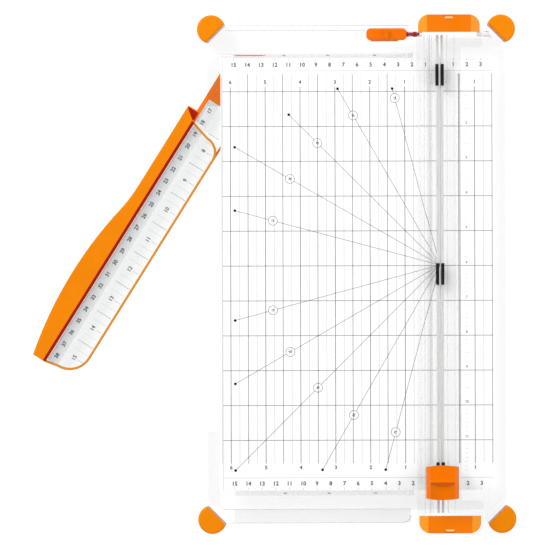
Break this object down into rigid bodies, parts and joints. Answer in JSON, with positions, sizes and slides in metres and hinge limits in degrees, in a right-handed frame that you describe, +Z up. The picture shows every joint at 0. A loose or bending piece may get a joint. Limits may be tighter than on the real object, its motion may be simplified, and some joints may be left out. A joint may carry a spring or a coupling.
{
  "type": "rotary paper trimmer",
  "caption": "Clear-bodied rotary paper trimmer with a printed bed, a hinged cutting rail, a sliding blade carriage, corner feet and a swing-out ruler arm.",
  "frame": {"origin": "on the table, under the middle of the trimmer's box with the ruler arm part way out", "axes": "+X to the right, across the cut and towards the rail; +Y to the rear, along the cut; +Z up"},
  "size_m": [0.3517, 0.381, 0.04],
  "materials": {
    "clear": "clear, gloss",
    "sheet_white": "satin",
    "orange": "gloss",
    "orange_foot": "satin",
    "crimson": "gloss",
    "black": "matte",
    "acetal": "satin",
    "grip": "matte",
    "steel": "satin",
    "blade_steel": "polished"
  },
  "bodies": {
    "base": {"base_frame": "clear", "cutting_platform": "sheet_white", "offcut_platform": "sheet_white", "fixed_blade": "blade_steel", "fixed_blade_screws": "steel", "rear_left_foot": "orange_foot", "rear_right_foot": "orange_foot", "front_left_foot": "orange_foot", "front_right_foot": "orange_foot", "foot_screws": "steel", "arm_pivot_washer": "steel", "arm_pivot_screw": "steel", "rail_hinge_pin": "steel"},
    "lock": {"lock_slide": "orange", "lock_bolt": "crimson", "lock_keeper": "orange"},
    "rail": {"cutting_rail": "clear", "rear_end_cap": "orange", "front_end_cap": "orange", "left_guide_rod": "steel", "right_guide_rod": "steel", "rear_rod_clips": "black", "middle_rod_clips": "black", "front_rod_clips": "black", "paper_grip_strips": "grip", "end_cap_screws": "steel"},
    "carriage": {"carriage_shell": "orange", "slide_shoes": "acetal", "blade_holder": "black", "blade_axle": "steel", "blade_bush": "acetal", "blade_spring_washer": "steel", "blade_nut": "steel"},
    "blade": {"rotary_blade": "blade_steel"},
    "arm": {"arm_frame": "orange", "arm_pivot_bush": "acetal", "arm_ruler": "clear", "arm_window": "clear"}
  },
  "joints": [
    {"name": "swing_arm", "type": "hinge", "parent": "base", "child": "arm", "pos_m": [-0.0178, 0.138, 0.005], "axis": [0, 0, 1], "range_deg": [-57.85, 32.15]},
    {"name": "rail_lift", "type": "hinge", "parent": "base", "child": "rail", "pos_m": [0.12, 0.1745, 0.02], "axis": [-1, 0, 0], "range_deg": [0, 45]},
    {"name": "carriage_slide", "type": "slide", "parent": "rail", "child": "carriage", "axis": [0, 1, 0], "range_m": [0, 0.311]},
    {"name": "blade_spin", "type": "hinge", "parent": "carriage", "child": "blade", "pos_m": [0.12025, -0.1519, 0.0235], "axis": [1, 0, 0], "continuous": true},
    {"name": "hinge_lock", "type": "slide", "parent": "base", "child": "lock", "axis": [-1, 0, 0], "range_m": [0, 0.005]}
  ],
  "couplings": [
    {"joint": "blade_spin", "follows": "carriage_slide", "rad_per_m": -83.333}
  ]
}
